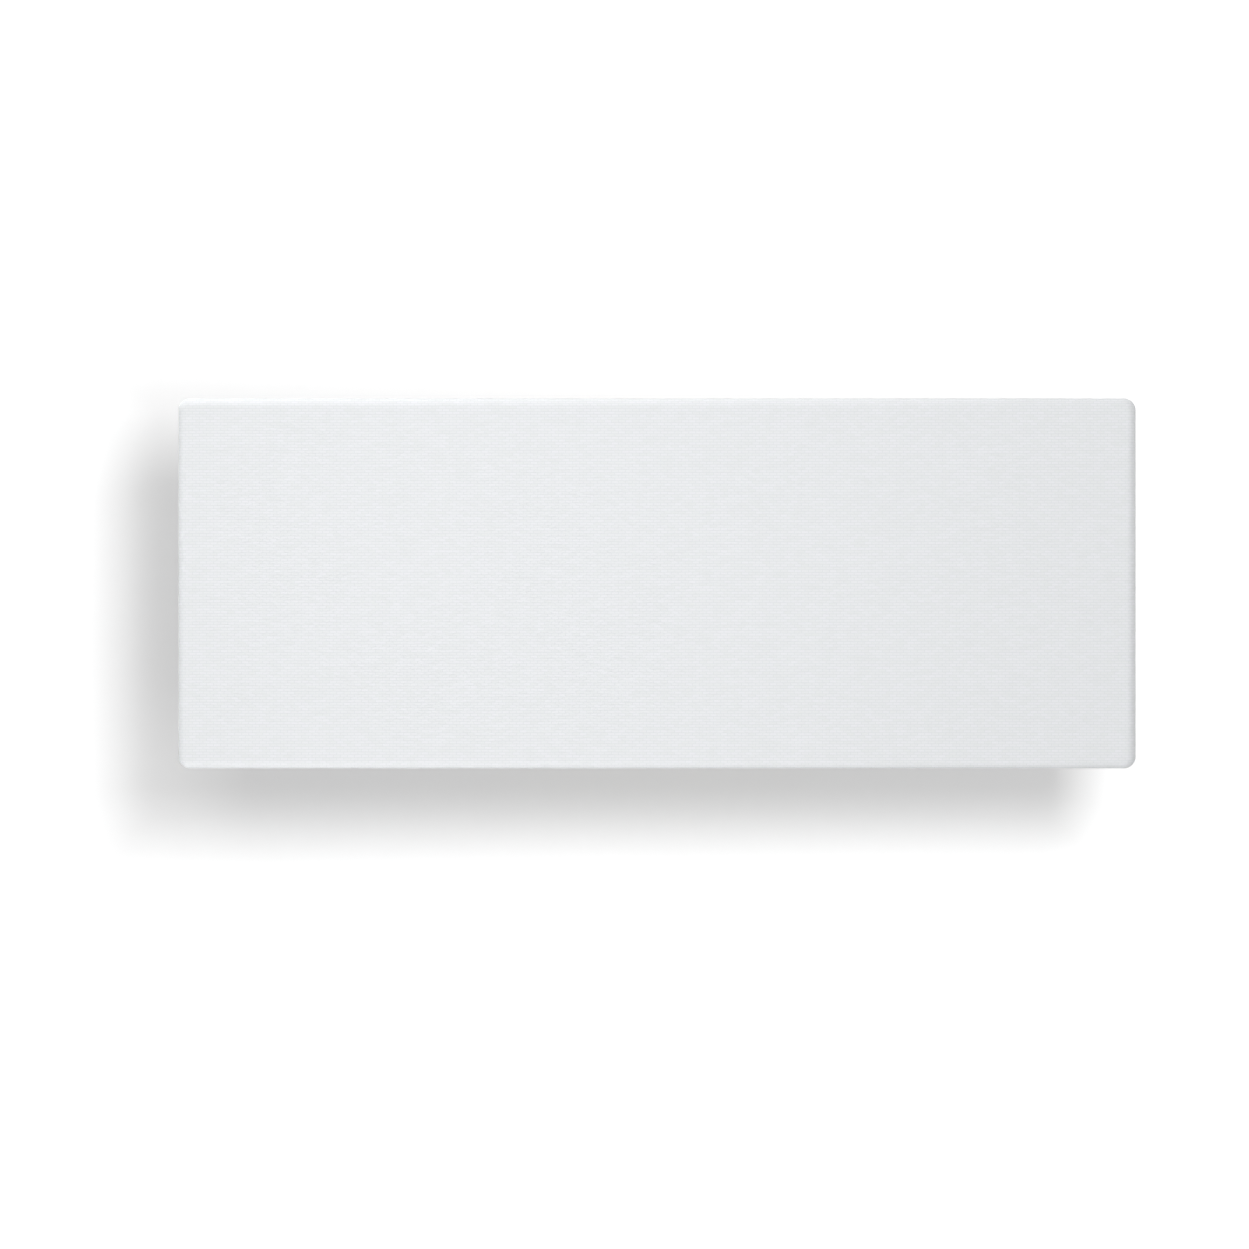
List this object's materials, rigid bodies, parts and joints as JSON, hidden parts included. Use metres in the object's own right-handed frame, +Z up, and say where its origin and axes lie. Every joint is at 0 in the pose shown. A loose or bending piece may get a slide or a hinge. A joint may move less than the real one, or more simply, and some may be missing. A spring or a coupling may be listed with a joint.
{
  "type": "in wall speaker",
  "caption": "Long in-wall loudspeaker: a white cloth-wrapped cover held by magnets over bass drivers and a dome tweeter in a frame that clamps into a wall cut-out.",
  "frame": {"origin": "middle of the flange's back face, which lies on the wall", "axes": "+X along the long side, +Z up, +Y into the wall, so the room is at -Y"},
  "size_m": [0.6, 0.088, 0.232],
  "materials": {
    "white_cloth": "matte",
    "white_plastic": "matte",
    "nickel": "satin",
    "black_plastic": "matte",
    "zinc_steel": "satin",
    "black_steel": "satin",
    "nylon": "matte",
    "cast_basket": "matte",
    "ferrite": "matte",
    "cone_fibre": "matte",
    "surround_rubber": "matte",
    "spider_cloth": "matte",
    "copper": "satin",
    "phenolic": "matte",
    "silk": "satin",
    "board_green": "satin",
    "capacitor_film": "gloss",
    "cement": "matte",
    "gold_plate": "polished",
    "red_plastic": "gloss",
    "knob_black": "gloss",
    "wire_red": "satin",
    "wire_black": "satin"
  },
  "bodies": {
    "mounting_frame": {"baffle": "black_plastic", "keeper_plates": "zinc_steel", "woofer_screws": "black_steel", "tweeter_screws": "black_steel", "board_screws": "zinc_steel", "tweeter_faceplate": "black_plastic", "tweeter_diaphragm": "silk", "tweeter_voice_coil": "copper", "tweeter_top_plate": "zinc_steel", "tweeter_magnet": "ferrite", "tweeter_yoke": "zinc_steel", "crossover_board": "board_green", "woofer_inductor": "copper", "tweeter_inductor": "copper", "film_capacitors": "capacitor_film", "power_resistors": "cement", "terminal_post_red": "gold_plate", "terminal_post_black": "gold_plate", "leads_positive": "wire_red", "leads_negative": "wire_black", "woofer_basket_left": "cast_basket", "woofer_surround_left": "surround_rubber", "woofer_trim_ring_left": "surround_rubber", "woofer_spider_left": "spider_cloth", "woofer_top_plate_left": "zinc_steel", "woofer_magnet_left": "ferrite", "woofer_yoke_left": "zinc_steel", "woofer_tag_strip_left": "phenolic", "woofer_basket_right": "cast_basket", "woofer_surround_right": "surround_rubber", "woofer_trim_ring_right": "surround_rubber", "woofer_spider_right": "spider_cloth", "woofer_top_plate_right": "zinc_steel", "woofer_magnet_right": "ferrite", "woofer_yoke_right": "zinc_steel", "woofer_tag_strip_right": "phenolic"},
    "cover": {"cover_fabric": "white_cloth", "cover_frame": "white_plastic", "cover_magnets": "nickel"},
    "woofer_left_moving": {"woofer_cone_left": "cone_fibre", "woofer_dust_cap_left": "cone_fibre", "woofer_voice_coil_left": "copper"},
    "woofer_right_moving": {"woofer_cone_right": "cone_fibre", "woofer_dust_cap_right": "cone_fibre", "woofer_voice_coil_right": "copper"},
    "clamp_1_screw": {"clamp_screw_1": "zinc_steel"},
    "clamp_1_dog": {"clamp_dog_1": "nylon"},
    "clamp_2_screw": {"clamp_screw_2": "zinc_steel"},
    "clamp_2_dog": {"clamp_dog_2": "nylon"},
    "clamp_3_screw": {"clamp_screw_3": "zinc_steel"},
    "clamp_3_dog": {"clamp_dog_3": "nylon"},
    "clamp_4_screw": {"clamp_screw_4": "zinc_steel"},
    "clamp_4_dog": {"clamp_dog_4": "nylon"},
    "clamp_5_screw": {"clamp_screw_5": "zinc_steel"},
    "clamp_5_dog": {"clamp_dog_5": "nylon"},
    "clamp_6_screw": {"clamp_screw_6": "zinc_steel"},
    "clamp_6_dog": {"clamp_dog_6": "nylon"},
    "terminal_red": {"terminal_knob_red": "red_plastic"},
    "terminal_black": {"terminal_knob_black": "knob_black"}
  },
  "joints": [
    {"name": "cover_pull", "type": "slide", "parent": "mounting_frame", "child": "cover", "axis": [0, -1, 0], "range_m": [0, 0.08]},
    {"name": "woofer_left_travel", "type": "slide", "parent": "mounting_frame", "child": "woofer_left_moving", "axis": [0, -1, 0], "range_m": [-0.004, 0.004], "stiffness_N_per_m": 1000, "deforming": ["woofer_surround_left", "woofer_spider_left"]},
    {"name": "woofer_right_travel", "type": "slide", "parent": "mounting_frame", "child": "woofer_right_moving", "axis": [0, -1, 0], "range_m": [-0.004, 0.004], "stiffness_N_per_m": 1000, "deforming": ["woofer_surround_right", "woofer_spider_right"]},
    {"name": "clamp_1_turn", "type": "hinge", "parent": "mounting_frame", "child": "clamp_1_screw", "pos_m": [-0.2615, 0, 0.0835], "axis": [0, -1, 0], "range_deg": [0, 90]},
    {"name": "clamp_1_draw", "type": "slide", "parent": "clamp_1_screw", "child": "clamp_1_dog", "axis": [0, -1, 0], "range_m": [0, 0.029]},
    {"name": "clamp_2_turn", "type": "hinge", "parent": "mounting_frame", "child": "clamp_2_screw", "pos_m": [0.2615, 0, 0.0835], "axis": [0, 1, 0], "range_deg": [0, 90]},
    {"name": "clamp_2_draw", "type": "slide", "parent": "clamp_2_screw", "child": "clamp_2_dog", "axis": [0, -1, 0], "range_m": [0, 0.029]},
    {"name": "clamp_3_turn", "type": "hinge", "parent": "mounting_frame", "child": "clamp_3_screw", "pos_m": [-0.2615, 0, -0.0835], "axis": [0, 1, 0], "range_deg": [0, 90]},
    {"name": "clamp_3_draw", "type": "slide", "parent": "clamp_3_screw", "child": "clamp_3_dog", "axis": [0, -1, 0], "range_m": [0, 0.029]},
    {"name": "clamp_4_turn", "type": "hinge", "parent": "mounting_frame", "child": "clamp_4_screw", "pos_m": [0.2615, 0, -0.0835], "axis": [0, -1, 0], "range_deg": [0, 90]},
    {"name": "clamp_4_draw", "type": "slide", "parent": "clamp_4_screw", "child": "clamp_4_dog", "axis": [0, -1, 0], "range_m": [0, 0.029]},
    {"name": "clamp_5_turn", "type": "hinge", "parent": "mounting_frame", "child": "clamp_5_screw", "pos_m": [0, 0, 0.0835], "axis": [0, -1, 0], "range_deg": [0, 90]},
    {"name": "clamp_5_draw", "type": "slide", "parent": "clamp_5_screw", "child": "clamp_5_dog", "axis": [0, -1, 0], "range_m": [0, 0.029]},
    {"name": "clamp_6_turn", "type": "hinge", "parent": "mounting_frame", "child": "clamp_6_screw", "pos_m": [0, 0, -0.0835], "axis": [0, 1, 0], "range_deg": [0, 90]},
    {"name": "clamp_6_draw", "type": "slide", "parent": "clamp_6_screw", "child": "clamp_6_dog", "axis": [0, -1, 0], "range_m": [0, 0.029]},
    {"name": "terminal_red_turn", "type": "hinge", "parent": "mounting_frame", "child": "terminal_red", "pos_m": [0.049, 0.056, -0.03], "axis": [0, 1, 0], "continuous": true},
    {"name": "terminal_black_turn", "type": "hinge", "parent": "mounting_frame", "child": "terminal_black", "pos_m": [0.025, 0.056, -0.03], "axis": [0, 1, 0], "continuous": true}
  ]
}
